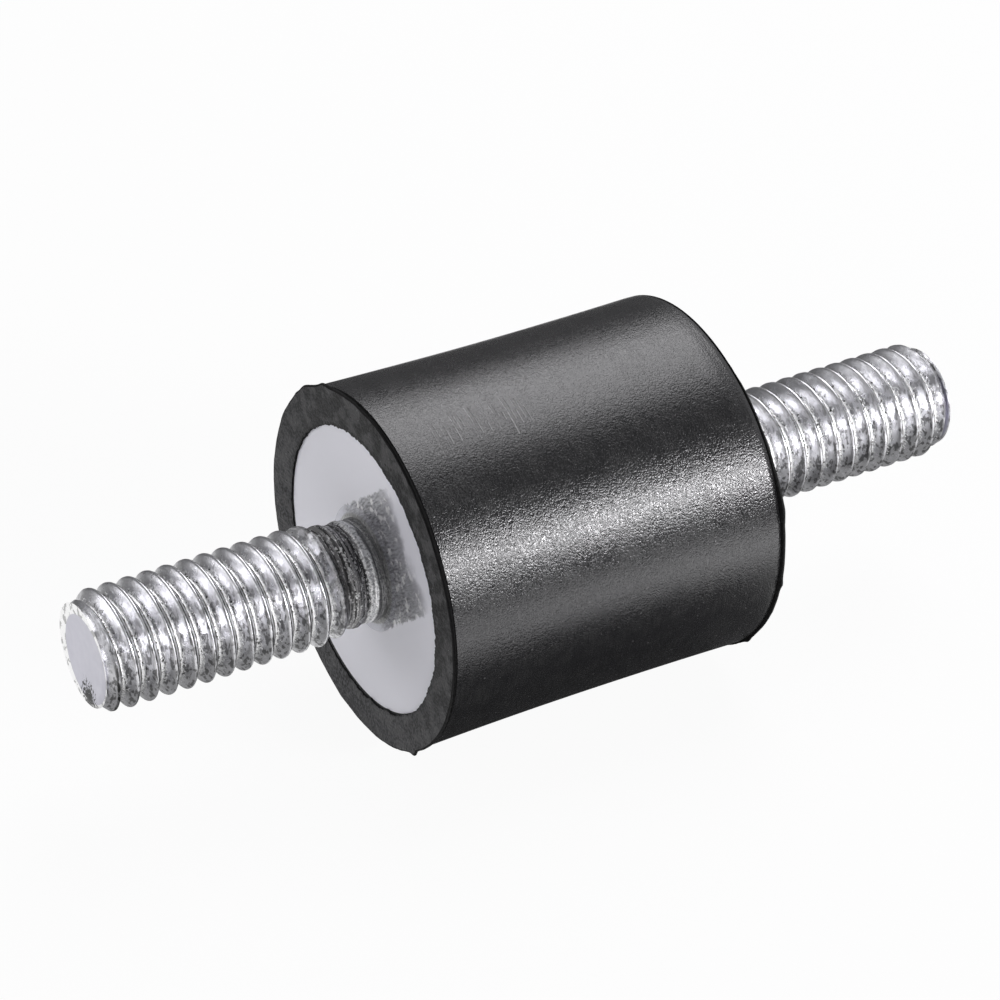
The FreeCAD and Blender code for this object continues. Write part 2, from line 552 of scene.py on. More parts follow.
class NodeBuilder:
    """Short calls that add nodes to a tree and link them."""

    def __init__(self, tree):
        self.tree = tree

    def add(self, kind, inputs=None, **settings):
        node = self.tree.nodes.new(kind)
        for key, value in settings.items():
            setattr(node, key, value)
        for key, value in (inputs or {}).items():
            self.feed(node.inputs[key], value)
        return node

    def feed(self, socket, value):
        if isinstance(value, bpy.types.NodeSocket):
            self.tree.links.new(value, socket)
        else:
            socket.default_value = value

    def maths(self, operation, *values):
        node = self.tree.nodes.new("ShaderNodeMath")
        node.operation = operation
        for socket, value in zip(node.inputs, values):
            self.feed(socket, value)
        return node.outputs[0]

    def plus(self, *values):
        return reduce(lambda total, value: self.maths("ADD", total, value), values)

    def times(self, *values):
        return reduce(lambda product, value: self.maths("MULTIPLY", product, value), values)

    def minus(self, first, second):
        return self.maths("SUBTRACT", first, second)

    def spread(self, value, low, high, to_low=0.0, to_high=1.0):
        """Maps a value from one span to another, smoothly and within its ends."""
        inputs = {"Value": value, "From Min": low, "From Max": high, "To Min": to_low, "To Max": to_high}
        node = self.add("ShaderNodeMapRange", inputs, interpolation_type="SMOOTHSTEP")
        return node.outputs["Result"]

    def mix(self, factor, first, second):
        """First colour where the factor is 0, second where it is 1."""
        node = self.add("ShaderNodeMix", data_type="RGBA")
        self.feed(node.inputs[0], factor)
        self.feed(node.inputs[6], first)
        self.feed(node.inputs[7], second)
        return node.outputs[2]

    def group(self, name, **inputs):
        """Places a shared effect with its own values and returns its outputs."""
        node = self.tree.nodes.new("ShaderNodeGroup")
        node.node_tree = effect_groups()[name]
        for key, value in inputs.items():
            self.feed(node.inputs[key.replace("_", " ").capitalize()], value)
        return node.outputs


def object_millimetres(nodes):
    """Place on the part in millimetres, as a vector."""
    place = nodes.add("ShaderNodeTexCoord").outputs["Object"]
    scaled = nodes.add("ShaderNodeVectorMath", {0: place, 3: 1 / MM}, operation="SCALE")
    return scaled.outputs[0]


def part_place(nodes):
    """X, Y and Z on the part in millimetres."""
    return nodes.add("ShaderNodeSeparateXYZ", {0: object_millimetres(nodes)}).outputs


def round_axis(nodes, place):
    """Angle round the axis, from the top towards the front."""
    return nodes.maths("ARCTAN2", nodes.times(place["Y"], -1.0), place["Z"])


def off_point(nodes, place, point):
    """Distance in millimetres from a point of the end face, given as its Y and Z."""
    sideways = nodes.maths("POWER", nodes.minus(place["Y"], point[0]), 2.0)
    upwards = nodes.maths("POWER", nodes.minus(place["Z"], point[1]), 2.0)
    return nodes.maths("SQRT", nodes.plus(sideways, upwards))


def size_of(nodes, value):
    """The value without its sign."""
    return nodes.maths("ABSOLUTE", value)


def stretched_noise(nodes, x, y, z=0.0):
    """Noise from 0 to 1 over coordinates that have been stretched or squeezed."""
    place = nodes.add("ShaderNodeCombineXYZ", {"X": x, "Y": y, "Z": z}).outputs[0]
    texture = nodes.add("ShaderNodeTexNoise", {"Vector": place, "Scale": 1.0, "Detail": 3.0})
    return nodes.spread(texture.outputs["Fac"], 0.3, 0.7)


def new_group(name, inputs, outputs):
    """An empty shader group with the given number sockets and the nodes for its ends."""
    group = bpy.data.node_groups.new(name, "ShaderNodeTree")
    for socket_name, default in inputs:
        socket = group.interface.new_socket(socket_name, in_out="INPUT", socket_type="NodeSocketFloat")
        socket.default_value = default
    for socket_name in outputs:
        group.interface.new_socket(socket_name, in_out="OUTPUT", socket_type="NodeSocketFloat")
    nodes = NodeBuilder(group)
    return group, nodes, nodes.add("NodeGroupInput").outputs, nodes.add("NodeGroupOutput").inputs


def fine_grain_group():
    """Even mottling of any size, from 0 to 1."""
    group, nodes, given, result = new_group("fine_grain", [("Size", 0.2), ("Detail", 3.0)], ["Grain"])
    scale = nodes.maths("DIVIDE", 1.0, given["Size"])
    inputs = {"Vector": object_millimetres(nodes), "Scale": scale, "Detail": given["Detail"]}
    texture = nodes.add("ShaderNodeTexNoise", inputs)
    nodes.feed(result["Grain"], nodes.spread(texture.outputs["Fac"], 0.25, 0.75))
    return group


def turned_streaks_group():
    """Fine lines that run round the axis, from 0 to 1."""
    inputs = [("Spacing", 0.1), ("Length", 4.0)]
    group, nodes, given, result = new_group("turned_streaks", inputs, ["Streaks"])
    place = part_place(nodes)
    along = nodes.maths("DIVIDE", place["X"], given["Spacing"])
    sideways = nodes.maths("DIVIDE", place["Y"], given["Length"])
    upwards = nodes.maths("DIVIDE", place["Z"], given["Length"])
    nodes.feed(result["Streaks"], stretched_noise(nodes, along, sideways, upwards))
    return group


def specks_group():
    """Small separate specks, 1 inside and 0 outside."""
    inputs = [("Spacing", 0.5), ("Radius", 0.15)]
    group, nodes, given, result = new_group("specks", inputs, ["Specks"])
    scale = nodes.maths("DIVIDE", 1.0, given["Spacing"])
    texture = nodes.add("ShaderNodeTexVoronoi", {"Vector": object_millimetres(nodes), "Scale": scale})
    outside = nodes.times(given["Radius"], 1.4)
    inside = nodes.times(given["Radius"], 0.6)
    nodes.feed(result["Specks"], nodes.spread(texture.outputs["Distance"], outside, inside))
    return group


def scratch_patch_group():
    """Short straight scratches round the axis, in one patch on top of the side near the left end."""
    group, nodes, given, result = new_group("scratch_patch", [("Spacing", 0.24)], ["Scratches"])
    place = part_place(nodes)
    around = round_axis(nodes, place)
    steps = nodes.maths("DIVIDE", place["X"], given["Spacing"])
    number = nodes.maths("FLOOR", steps)
    picked = nodes.add("ShaderNodeTexWhiteNoise", {"W": number}, noise_dimensions="1D")
    chance = nodes.add("ShaderNodeSeparateXYZ", {0: picked.outputs["Color"]}).outputs
    slanted = nodes.plus(steps, nodes.times(around, 1.5))
    off_line = size_of(nodes, nodes.minus(nodes.maths("FRACT", slanted), 0.5))
    line = nodes.spread(off_line, 0.24, 0.08)
    patch = nodes.times(nodes.spread(place["X"], -7.2, -6.8), nodes.spread(place["X"], -1.6, -2.2))
    centre = nodes.plus(nodes.times(chance["X"], radians(7.0)), radians(18.0))
    reach = nodes.plus(nodes.times(chance["Y"], radians(4.0)), radians(1.5))
    within = nodes.maths("LESS_THAN", size_of(nodes, nodes.minus(around, centre)), reach)
    strength = nodes.spread(chance["Z"], 0.0, 0.6, 0.15, 1.0)
    nodes.feed(result["Scratches"], nodes.times(line, patch, within, strength))
    return group


def thread_marks_group():
    """Where a point lies on a thread: painted shade lines, rough root, residue, collar, painted highlight
    ring, tip, seat.
    """
    inputs = [("Pitch", 1.0), ("Start", 0.0), ("Reach", 3.0)]
    outputs = ["Edge", "Root", "Residue", "Collar", "Painted highlight", "Tip", "Seat"]
    group, nodes, given, result = new_group("thread_marks", inputs, outputs)
    place = part_place(nodes)
    wander = nodes.group("fine_grain", size=0.5, detail=3.0)["Grain"]
    jagged = nodes.group("fine_grain", size=0.16, detail=3.0)["Grain"]

    # Share of a turn past the middle of the crest
    turns = nodes.minus(nodes.maths("DIVIDE", place["X"], given["Pitch"]), given["Start"])
    turns = nodes.minus(turns, nodes.maths("DIVIDE", round_axis(nodes, place), 2 * pi))
    phase = nodes.maths("FRACT", turns)
    # Painted shade: a thin dark line just past each crest and another at the foot of each flank, where the
    # groove falls in shade.
    crest_end = nodes.plus(nodes.times(wander, 0.03), 0.015)
    past_crest = nodes.maths("GREATER_THAN", phase, crest_end)
    crest_line = nodes.times(past_crest, nodes.spread(phase, 0.15, 0.11))
    foot_line = nodes.times(nodes.spread(phase, 0.33, 0.36), nodes.spread(phase, 0.47, 0.44))
    edge = nodes.maths("MAXIMUM", crest_line, foot_line)
    past_root = nodes.minus(phase, nodes.plus(nodes.times(jagged, 0.22), 0.50))
    root = nodes.times(nodes.spread(phase, 0.40, 0.44), nodes.spread(past_root, 0.03, -0.01))

    # Millimetres from the face of the plate
    from_seat = nodes.minus(size_of(nodes, place["X"]), SEAT / MM)
    tip = (TIP - SEAT) / MM
    before_tip = nodes.spread(from_seat, tip - 0.6, tip - 0.3, 1.0, 0.0)
    ragged = nodes.plus(from_seat, nodes.times(place["Z"], -0.10), nodes.times(wander, 0.8))
    residue_start = nodes.plus(given["Reach"], 0.4)
    residue_full = nodes.minus(given["Reach"], 0.4)
    uneven_collar = nodes.plus(from_seat, nodes.times(wander, 0.3))
    uneven_ring = nodes.plus(from_seat, nodes.times(wander, 0.15))
    off_ring = size_of(nodes, nodes.minus(uneven_ring, 0.92))

    nodes.feed(result["Edge"], nodes.times(edge, before_tip))
    nodes.feed(result["Root"], nodes.times(root, before_tip))
    nodes.feed(result["Residue"], nodes.spread(ragged, residue_start, residue_full))
    nodes.feed(result["Collar"], nodes.spread(uneven_collar, 1.15, 0.95))
    # Painted highlight: a bright ring round the stud near the plate.
    nodes.feed(result["Painted highlight"], nodes.spread(off_ring, 0.28, 0.16))
    nodes.feed(result["Tip"], nodes.spread(from_seat, tip - 0.12, tip - 0.08))
    nodes.feed(result["Seat"], nodes.spread(from_seat, 0.02, 0.01))
    return group


def painted_reflection_group():
    """Painted reflection of the near stud's base on the disc beside it: where it lies, its streaks and how
    it fades outwards.
    """
    inputs = [("Direction", 0.9), ("Reach", 5.5)]
    group, nodes, given, result = new_group("painted_reflection_marks", inputs, ["Smear", "Streaks", "Fade"])
    place = part_place(nodes)
    clouds = nodes.group("fine_grain", size=1.6, detail=3.0)["Grain"]
    patches = nodes.group("fine_grain", size=0.40, detail=4.0)["Grain"]
    upwards = nodes.maths("COSINE", given["Direction"])
    forwards = nodes.maths("SINE", given["Direction"])
    along = nodes.minus(nodes.times(place["Z"], upwards), nodes.times(place["Y"], forwards))
    across = nodes.plus(nodes.times(place["Z"], forwards), nodes.times(place["Y"], upwards))
    past_reach = nodes.minus(nodes.plus(along, nodes.times(clouds, 0.7)), given["Reach"])
    off_middle = nodes.plus(size_of(nodes, across), nodes.times(patches, 0.2))
    inside = nodes.times(nodes.spread(past_reach, 0.55, -0.55), nodes.spread(off_middle, 3.35, 3.15))
    near_end = nodes.maths("LESS_THAN", place["X"], 0.0)
    painted_reflection = nodes.times(inside, nodes.spread(along, -0.6, 0.4), near_end)
    lengthways = nodes.maths("DIVIDE", along, 0.40)
    sideways = nodes.maths("DIVIDE", across, 0.11)
    nodes.feed(result["Smear"], painted_reflection)
    nodes.feed(result["Streaks"], stretched_noise(nodes, lengthways, sideways))
    nodes.feed(result["Fade"], nodes.spread(along, 3.2, 5.6))
    return group


GROUP_BUILDERS = (
    fine_grain_group,
    turned_streaks_group,
    specks_group,
    scratch_patch_group,
    painted_reflection_group,
    thread_marks_group,
)
made_groups = {}


def effect_groups():
    """The shared surface effects, each made once."""
    if not made_groups:
        for build in GROUP_BUILDERS:
            group = build()
            made_groups[group.name] = group
    return made_groups


def new_material(name):
    material = bpy.data.materials.new(name)
    material.use_nodes = True
    material.node_tree.nodes.clear()
    nodes = NodeBuilder(material.node_tree)
    shader = nodes.add("ShaderNodeBsdfPrincipled")
    nodes.add("ShaderNodeOutputMaterial", {"Surface": shader.outputs[0]})
    return material, nodes, shader.inputs


def grey(value):
    return (value, value, value, 1.0)


def opaque(colour):
    return (*colour, 1.0)


def bump(nodes, height, distance, below=None):
    """Relief of the given height in metres, laid over another relief where there is one."""
    inputs = {"Height": height, "Distance": distance, "Strength": 1.0}
    if below is not None:
        inputs["Normal"] = below
    return nodes.add("ShaderNodeBump", inputs).outputs[0]


def moulded_side_material(settings):
    """Satin black rubber: fine lines round the axis, a speckled grain, scratches and a few pale specks."""
    material, nodes, shader = new_material("moulded_side")
    place = part_place(nodes)
    streaks = nodes.group("turned_streaks", spacing=0.07, length=1.2)["Streaks"]
    bands = nodes.group("turned_streaks", spacing=0.6, length=9.0)["Streaks"]
    grain = nodes.group("fine_grain", size=0.08, detail=1.5)["Grain"]
    pebbles = nodes.group("fine_grain", size=0.24, detail=2.0)["Grain"]
    clouds = nodes.group("fine_grain", size=0.9, detail=4.0)["Grain"]
    specks = nodes.group("specks", spacing=0.55, radius=0.07)["Specks"]
    scratches = nodes.group("scratch_patch")["Scratches"]

    worn = nodes.mix(nodes.times(streaks, clouds), opaque(settings.side_colour), grey(0.014))
    scratched = nodes.mix(nodes.times(scratches, 0.65), worn, grey(0.22))
    nodes.feed(shader["Base Color"], nodes.mix(nodes.times(specks, 0.5), scratched, grey(0.14)))

    uneven = nodes.plus(nodes.times(bands, 0.04), nodes.times(clouds, 0.06), nodes.times(grain, 0.20))
    handled = nodes.times(nodes.spread(place["X"], -3.0, -9.0), 0.05)
    nodes.feed(shader["Roughness"], nodes.plus(uneven, handled, settings.side_roughness))

    pebbled = bump(nodes, pebbles, 0.005 * MM)
    speckled = bump(nodes, grain, 0.008 * MM, pebbled)
    lined = bump(nodes, streaks, 0.003 * MM, speckled)
    nodes.feed(shader["Normal"], bump(nodes, scratches, 0.012 * MM, lined))
    shader["IOR"].default_value = 1.52
    return material


def torn_edge_material():
    """Dull black where the rubber tore along the mould's parting line and round the opening."""
    material, nodes, shader = new_material("torn_edge")
    ragged = nodes.group("fine_grain", size=0.18, detail=4.0)["Grain"]
    nodes.feed(shader["Base Color"], nodes.mix(ragged, grey(0.008), grey(0.018)))
    nodes.feed(shader["Roughness"], nodes.plus(nodes.times(ragged, 0.2), 0.7))
    nodes.feed(shader["Normal"], bump(nodes, ragged, 0.03 * MM))
    shader["Specular IOR Level"].default_value = 0.15
    return material


def trimmed_end_material(settings):
    """Matte rubber where the ends were trimmed, mottled and specked, with painted shade that darkens it
    towards the top front.
    """
    material, nodes, shader = new_material("trimmed_end")
    place = part_place(nodes)
    mottle = nodes.group("fine_grain", size=0.16, detail=4.0)["Grain"]
    clouds = nodes.group("fine_grain", size=0.9, detail=4.0)["Grain"]
    specks = nodes.group("specks", spacing=0.5, radius=0.06)["Specks"]
    pits = nodes.group("specks", spacing=0.55, radius=0.11)["Specks"]

    # Painted shade: the end colour falls to near black towards the top front of each face.
    painted_shade_slope = nodes.minus(nodes.times(place["Y"], 0.068), nodes.times(place["Z"], 0.099))
    end_with_painted_shade = nodes.mix(nodes.spread(painted_shade_slope, -0.9, 0.9), grey(0.015), opaque(settings.end_colour))
    mottled = nodes.mix(nodes.times(nodes.spread(mottle, 0.25, 0.70), 0.8), end_with_painted_shade, grey(0.014))
    dusted = nodes.mix(nodes.times(nodes.spread(clouds, 0.30, 0.80), 0.60), mottled, grey(0.105))
    pitted = nodes.mix(pits, dusted, grey(0.006))
    specked = nodes.mix(nodes.times(specks, clouds), pitted, grey(0.34))
    from_axis = nodes.plus(off_point(nodes, place, (0.0, 0.0)), nodes.times(mottle, 0.34))
    black_edge = nodes.spread(from_axis, 7.60, 7.50)
    nodes.feed(shader["Base Color"], nodes.mix(black_edge, specked, grey(0.005)))

    nodes.feed(shader["Roughness"], nodes.plus(nodes.times(mottle, 0.2), 0.62))
    nodes.feed(shader["Normal"], bump(nodes, mottle, 0.045 * MM))
    return material


def painted_reflection_on(nodes, settings):
    """The painted reflection of the near stud's base, at the place that the plate and the stud's seat
    share.
    """
    return nodes.group("painted_reflection_marks", direction=settings.painted_reflection_direction, reach=settings.painted_reflection_reach / MM)


def plate_material(settings):
    """Dull zinc on a flat disc, painted greyer at the far end as a shaded copy of the near one, with a
    streaky painted reflection of the near stud's base beside that stud.
    """
    material, nodes, shader = new_material("zinc_disc")
    place = part_place(nodes)
    grain = nodes.group("fine_grain", size=0.12, detail=3.0)["Grain"]
    patches = nodes.group("fine_grain", size=0.40, detail=4.0)["Grain"]
    marks = painted_reflection_on(nodes, settings)
    painted_reflection, streaks = marks["Smear"], marks["Streaks"]
    dark_reflection, mid_reflection, pale_reflection = (0.13, 0.13, 0.14), (0.42, 0.42, 0.45), (0.52, 0.52, 0.56)

    # Painted light and shade: the near disc takes the lighter copy of the zinc colour, the far disc the
    # darker one.
    near_end = nodes.maths("LESS_THAN", place["X"], 0.0)
    plated = nodes.mix(near_end, opaque(settings.far_plate_colour_painted_shade), opaque(settings.near_plate_colour_painted_light))
    # Painted reflection of the near stud's base: dark by the stud, then paler, streaky and patchy further
    # out.
    faded = nodes.mix(marks["Fade"], opaque(dark_reflection), opaque(mid_reflection))
    streaky = nodes.mix(nodes.times(streaks, 0.75), faded, opaque(pale_reflection))
    patchy = nodes.mix(nodes.times(nodes.spread(patches, 0.60, 0.90), 0.8), streaky, grey(0.80))
    nodes.feed(shader["Base Color"], nodes.mix(painted_reflection, plated, patchy))
    nodes.feed(shader["Metallic"], nodes.plus(nodes.times(painted_reflection, 0.30), 0.15))

    dull = nodes.times(nodes.minus(1.0, painted_reflection), 0.10)
    nodes.feed(shader["Roughness"], nodes.plus(dull, nodes.times(grain, 0.05), settings.plate_roughness))
    fine = bump(nodes, grain, 0.0006 * MM)
    nodes.feed(shader["Normal"], bump(nodes, nodes.times(streaks, painted_reflection), 0.006 * MM, fine))
    return material


def thread_patterns(nodes):
    """The patterns that a thread's colour and relief share."""
    return {
        "grain": nodes.group("fine_grain", size=0.08, detail=2.0)["Grain"],
        "crust": nodes.group("fine_grain", size=0.12, detail=4.0)["Grain"],
        "patches": nodes.group("fine_grain", size=0.40, detail=4.0)["Grain"],
        "lines": nodes.group("turned_streaks", spacing=0.05, length=1.4)["Streaks"],
        "scores": nodes.group("turned_streaks", spacing=0.09, length=0.5)["Streaks"],
        "rings": nodes.group("turned_streaks", spacing=0.14, length=3.0)["Streaks"],
    }


def plated_thread(nodes, settings, place, marks, pattern):
    """Colour of the plated thread: dark scuffs gathered underneath as painted shade, frosted roots painted
    bright as a highlight, and painted shade in thin lines past each crest and at each flank's foot.
    """
    patches, scores = pattern["patches"], pattern["scores"]
    mottled = nodes.mix(nodes.times(patches, 0.5), opaque(settings.thread_colour), grey(0.52))
    lined = nodes.mix(nodes.times(pattern["lines"], 0.25), mottled, grey(0.45))
    # Dark scuffs, gathered towards the lower front as painted shade.
    painted_shade_underneath = nodes.spread(nodes.plus(place["Y"], place["Z"]), 2.5, -2.0, 0.15, 1.0)
    scuffs = nodes.times(nodes.spread(scores, 0.40, 0.70), nodes.spread(patches, 0.30, 0.55))
    scuffed_and_shaded = nodes.mix(nodes.times(scuffs, painted_shade_underneath, 0.85), lined, grey(0.14))
    # Partly painted highlight: the roots are rougher as frosted zinc and painted near white as a highlight.
    frosted_and_highlighted = nodes.mix(marks["Root"], scuffed_and_shaded, grey(0.95))
    pits = nodes.times(nodes.spread(scores, 0.60, 0.75), nodes.spread(pattern["crust"], 0.52, 0.66))
    pitted = nodes.mix(nodes.times(pits, marks["Root"]), frosted_and_highlighted, grey(0.06))
    # Painted shade: near-black lines in the creases past each crest and at each flank's foot.
    painted_crease_shade = nodes.times(marks["Edge"], nodes.spread(patches, 0.15, 0.6, 0.55, 1.0))
    return nodes.mix(painted_crease_shade, pitted, grey(0.03))


def rough_residue(nodes, settings, marks, pattern):
    """Colour of the residue by the plate: dark rings with pale flecks, a grey collar, one bright ring
    painted as a highlight.
    """
    rings, crust = pattern["rings"], pattern["crust"]
    ringed = nodes.mix(nodes.spread(rings, 0.2, 0.8), grey(0.07), opaque(settings.residue_colour))
    flecks = nodes.times(nodes.spread(pattern["scores"], 0.55, 0.75), nodes.spread(crust, 0.45, 0.6))
    flecked = nodes.mix(nodes.times(flecks, 0.8), ringed, grey(0.85))
    collar = nodes.mix(nodes.times(rings, crust, 1.2), grey(0.22), grey(0.62))
    based = nodes.mix(marks["Collar"], flecked, collar)
    # Painted highlight: one near-white ring round the stud near the plate.
    painted_highlight_ring = nodes.times(marks["Painted highlight"], nodes.spread(crust, 0.2, 0.6, 0.4, 1.0))
    return nodes.mix(painted_highlight_ring, based, grey(0.95))


# Middle of the tip's flat, and of the smudge at its lower edge, as Y and Z in millimetres.
TIP_FLAT = (-0.28, -0.06)
TIP_SMUDGE = (-0.35, -2.15)


def thread_material(name, settings, thread, start, residue_share):
    """Bright zinc on a rolled thread, with residue by the plate and a flat grey tip."""
    material, nodes, shader = new_material(name)
    place = part_place(nodes)
    pattern = thread_patterns(nodes)
    patches, crust = pattern["patches"], pattern["crust"]
    pitch, reach = thread.pitch / MM, thread.residue_reach / MM
    marks = nodes.group("thread_marks", pitch=pitch, start=start, reach=reach)
    residue = nodes.times(marks["Residue"], residue_share)
    near_end = nodes.maths("LESS_THAN", place["X"], 0.0)

    clean = plated_thread(nodes, settings, place, marks, pattern)
    covered = nodes.mix(residue, clean, rough_residue(nodes, settings, marks, pattern))
    flat = nodes.times(marks["Tip"], nodes.spread(off_point(nodes, place, TIP_FLAT), 2.25, 2.19))
    not_flat = nodes.minus(1.0, flat)
    worn_rim = nodes.mix(nodes.spread(patches, 0.60, 0.75), grey(0.98), grey(0.50))
    rimmed = nodes.mix(nodes.times(marks["Tip"], not_flat), covered, worn_rim)
    tipped = nodes.mix(flat, rimmed, opaque(settings.tip_colour))
    from_smudge = nodes.plus(off_point(nodes, place, TIP_SMUDGE), crust)
    smudge = nodes.times(nodes.spread(from_smudge, 1.20, 1.0), near_end, marks["Tip"])
    smudged = nodes.mix(smudge, tipped, grey(0.05))

    painted_reflection = painted_reflection_on(nodes, settings)
    # The painted reflection runs on over the stud's seat in dark and pale streaks.
    dark_seat, pale_seat = (0.26, 0.26, 0.28), (0.50, 0.50, 0.54)
    streaky = nodes.mix(painted_reflection["Streaks"], opaque(dark_seat), opaque(pale_seat))
    seat = nodes.mix(painted_reflection["Smear"], opaque(settings.seat_colour), streaky)
    nodes.feed(shader["Base Color"], nodes.mix(marks["Seat"], smudged, seat))

    dull = nodes.plus(nodes.times(patches, 0.10), settings.thread_roughness)
    duller = nodes.plus(dull, nodes.times(marks["Root"], 0.14), nodes.times(flat, 0.10))
    nodes.feed(shader["Roughness"], nodes.plus(duller, nodes.times(residue, 0.14)))
    rolled = bump(nodes, nodes.times(pattern["grain"], not_flat), 0.004 * MM)
    lined = bump(nodes, nodes.times(pattern["lines"], not_flat), 0.002 * MM, rolled)
    pits = nodes.times(nodes.plus(pattern["scores"], crust), marks["Root"])
    pitted = bump(nodes, pits, 0.016 * MM, lined)
    ridges = nodes.times(nodes.plus(crust, pattern["rings"]), residue)
    nodes.feed(shader["Normal"], bump(nodes, ridges, 0.022 * MM, pitted))
    shader["Metallic"].default_value = 1.0
    return material


def studio_world(settings):
    """White behind the object for the camera, and a dim room with brighter ends for everything else."""
    world = bpy.data.worlds.new("studio")
    world.use_nodes = True
    world.node_tree.nodes.clear()
    nodes = NodeBuilder(world.node_tree)
    rays = nodes.add("ShaderNodeLightPath").outputs
    seen = nodes.add("ShaderNodeBackground", {"Color": grey(1.0), "Strength": 1.0})
    towards = nodes.add("ShaderNodeTexCoord").outputs["Generated"]
    direction = nodes.add("ShaderNodeSeparateXYZ", {0: towards}).outputs
    endways = nodes.spread(size_of(nodes, direction["X"]), 0.47, 0.80)
    strength = nodes.plus(nodes.times(endways, rays["Is Glossy Ray"], 0.6), settings.room)
    room = nodes.add("ShaderNodeBackground", {"Color": (0.97, 0.97, 1.0, 1.0), "Strength": strength})
    direct = nodes.maths("MAXIMUM", rays["Is Camera Ray"], rays["Is Transmission Ray"])
    both = nodes.add("ShaderNodeMixShader", {0: direct, 1: room.outputs[0], 2: seen.outputs[0]})
    nodes.add("ShaderNodeOutputWorld", {"Surface": both.outputs[0]})
    bpy.context.scene.world = world


def painted_light_pool(nodes, place):
    """A painted pool of light: the floor past both ends of the rubber, which polished metal sees as glowing
    white, weakened by painted shadow under the studs.
    """
    along = size_of(nodes, place["X"])
    off_axis = size_of(nodes, place["Y"])
    past_left = nodes.spread(place["X"], -9.2, -9.8)
    past_right = nodes.spread(place["X"], 11.0, 16.0)
    past_ends = nodes.maths("MAXIMUM", past_left, past_right)
    within = nodes.times(nodes.spread(along, 90.0, 60.0), nodes.spread(off_axis, 50.0, 30.0))
    # Painted shadow: the pool of light is weakened under the studs.
    painted_shadow_under_studs = nodes.times(nodes.spread(along, 12.0, 16.0), nodes.spread(off_axis, 10.0, 4.0))
    return nodes.times(past_ends, within, nodes.minus(1.0, nodes.times(painted_shadow_under_studs, 0.75)))


def floor_material():
    """Pale matte floor that keeps a faint shadow and looks white to the camera; in polished metal it shows
    a painted pool of light and elsewhere a painted shadow of dark grey.
    """
    material = bpy.data.materials.new("studio_floor")
    material.use_nodes = True
    material.node_tree.nodes.clear()
    nodes = NodeBuilder(material.node_tree)
    rays = nodes.add("ShaderNodeLightPath").outputs
    paint = nodes.add("ShaderNodeBsdfDiffuse", {"Color": grey(0.7)})
    white = nodes.add("ShaderNodeEmission", {"Color": grey(1.0), "Strength": 1.0})
    # Painted shadow: polished surfaces see the floor as dark grey wherever the painted pool of light does
    # not reach.
    dark = nodes.add("ShaderNodeBsdfDiffuse", {"Color": grey(0.12)})
    glossy = rays["Is Glossy Ray"]
    under = nodes.add("ShaderNodeMixShader", {0: glossy, 1: paint.outputs[0], 2: dark.outputs[0]})
    mirrored = nodes.times(glossy, painted_light_pool(nodes, part_place(nodes)))
    direct = nodes.maths("MAXIMUM", rays["Is Camera Ray"], rays["Is Transmission Ray"])
    seen = nodes.times(nodes.maths("MAXIMUM", direct, mirrored), 0.94)
    both = nodes.add("ShaderNodeMixShader", {0: seen, 1: under.outputs[0], 2: white.outputs[0]})
    nodes.add("ShaderNodeOutputMaterial", {"Surface": both.outputs[0]})
    return material


def add_floor(settings):
    half = settings.floor_size / 2
    level = cad_box[0].z
    corners = [(-half, -half, level), (half, -half, level), (half, half, level), (-half, half, level)]
    mesh = bpy.data.meshes.new("floor")
    mesh.from_pydata(corners, [], [(0, 1, 2, 3)])
    mesh.materials.append(floor_material())
    floor = bpy.data.objects.new("floor", mesh)
    bpy.context.scene.collection.objects.link(floor)


def add_lamp(name, place, facing, across, up, radiance):
    """Even rectangular lamp, in metres. Facing is the direction it shines in, across its level side."""
    light = bpy.data.lights.new(name, "AREA")
    light.shape = "RECTANGLE"
    light.size = across
    light.size_y = up
    light.energy = radiance * pi * across * up
    light.color = (0.985, 0.975, 1.0)
    lamp = bpy.data.objects.new(name, light)
    lamp.location = place
    lamp.rotation_euler = (-Vector(facing)).to_track_quat("Z", "Y").to_euler()
    lamp.visible_camera = False
    bpy.context.scene.collection.objects.link(lamp)


def add_camera(settings):
    """Camera at the photo's angle, level, with no shift."""
    azimuth, elevation = settings.camera_azimuth, settings.camera_elevation
    back = Vector((sin(azimuth) * cos(elevation), -cos(azimuth) * cos(elevation), sin(elevation)))
    right = Vector((cos(azimuth), sin(azimuth), 0.0))
    up = back.cross(right)
    data = bpy.data.cameras.new("camera")
    data.lens = settings.lens
    data.sensor_width = 36.0
    data.clip_start = 0.01
    data.clip_end = 20.0
    camera = bpy.data.objects.new("camera", data)
    place = back * settings.camera_distance + right * settings.aim_right + up * settings.aim_up
    turned = Matrix((right, up, back)).transposed()
    camera.matrix_world = Matrix.Translation(place) @ turned.to_4x4()
    bpy.context.scene.collection.objects.link(camera)
    bpy.context.scene.camera = camera


class MOUNT_OT_rubber(bpy.types.Operator):
    """Build the moulded rubber body with its trimmed lips"""
    bl_idname = "mount.rubber"
    bl_label = "Rubber Body"

    def execute(self, context):
        settings = context.scene.mount_rubber
        materials = [moulded_side_material(settings), trimmed_end_material(settings), torn_edge_material()]
        add_piece("moulded_rubber", rubber_mesh(settings), materials, "black_rubber", "rubber_body")
        return {"FINISHED"}


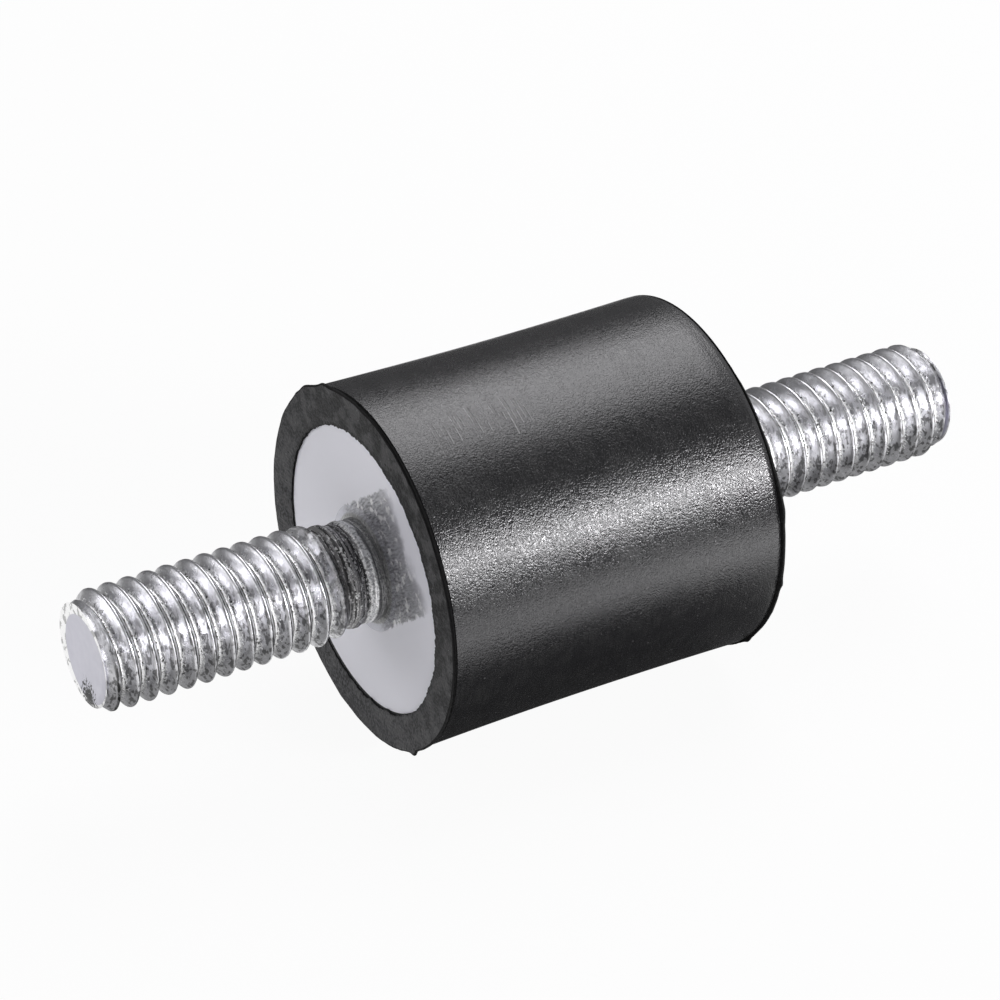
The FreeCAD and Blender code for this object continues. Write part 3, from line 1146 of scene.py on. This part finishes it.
class MOUNT_OT_studs(bpy.types.Operator):
    """Build both studs with their rolled threads"""
    bl_idname = "mount.studs"
    bl_label = "Threaded Studs"

    def execute(self, context):
        settings = context.scene.mount_thread
        metal = context.scene.mount_metal
        ends = (
            (LEFT, "left", settings.left_start, settings.left_residue),
            (RIGHT, "right", settings.right_start, settings.right_residue),
        )
        for side, word, start, residue in ends:
            name = f"{word}_threaded_stud"
            mesh = stud_mesh(settings, side, start, residue, name)
            finish = thread_material(f"{word}_zinc_thread", metal, settings, start, residue)
            add_piece(name, mesh, [finish], "zinc_thread", f"{word}_stud")
        return {"FINISHED"}


class MOUNT_OT_plates(bpy.types.Operator):
    """Finish the two steel end plates"""
    bl_idname = "mount.plates"
    bl_label = "End Plates"

    def execute(self, context):
        finish = plate_material(context.scene.mount_metal)
        for node in ("left_plate", "right_plate"):
            plate = frame["nodes"][node]
            for slot in plate.material_slots:
                slot.material = finish
        return {"FINISHED"}


class MOUNT_OT_studio(bpy.types.Operator):
    """Set the floor, the lamps, the room and the camera"""
    bl_idname = "mount.studio"
    bl_label = "Studio"

    def execute(self, context):
        settings = context.scene.mount_studio
        studio_world(settings)
        add_floor(settings)
        add_lamp("overhead_softbox", place=(0.17, 0.131, 0.334), facing=(0, -0.364, -0.931),
                 across=0.24, up=0.36, radiance=settings.overhead)
        add_lamp("front_strip", place=(0.23, -0.374, 0.142), facing=(0, 0.935, -0.355),
                 across=0.20, up=0.06, radiance=settings.strip)
        add_lamp("side_card", place=(-0.45, 0.16, 0.06), facing=(0.93, -0.34, -0.12),
                 across=0.45, up=0.22, radiance=settings.side_card)
        add_lamp("floor_card", place=(0.012, -0.038, -0.009), facing=(0, 0, 1),
                 across=0.06, up=0.034, radiance=settings.floor_card)
        add_camera(settings)
        return {"FINISHED"}


class MOUNT_PT_finish(bpy.types.Panel):
    """Lists the pieces of the mount and the studio"""
    bl_label = "Bobbin Mount"
    bl_idname = "MOUNT_PT_finish"
    bl_space_type = "VIEW_3D"
    bl_region_type = "UI"
    bl_category = "Mount"

    def draw(self, context):
        column = self.layout.column()
        for operator in OPERATORS:
            column.operator(operator.bl_idname)


OPERATORS = (MOUNT_OT_rubber, MOUNT_OT_studs, MOUNT_OT_plates, MOUNT_OT_studio)
SETTINGS = {
    "mount_rubber": RubberSettings,
    "mount_thread": ThreadSettings,
    "mount_metal": MetalSettings,
    "mount_studio": StudioSettings,
}


def register():
    for kind in (*SETTINGS.values(), *OPERATORS, MOUNT_PT_finish):
        bpy.utils.register_class(kind)
    for name, kind in SETTINGS.items():
        setattr(bpy.types.Scene, name, PointerProperty(type=kind))


def unregister():
    for name in SETTINGS:
        delattr(bpy.types.Scene, name)
    for kind in reversed((*SETTINGS.values(), *OPERATORS, MOUNT_PT_finish)):
        bpy.utils.unregister_class(kind)


def main():
    register()
    bpy.context.scene.view_settings.view_transform = "Standard"
    bpy.ops.mount.rubber()
    bpy.ops.mount.studs()
    bpy.ops.mount.plates()
    bpy.ops.mount.studio()


if __name__ == "__main__":
    main()
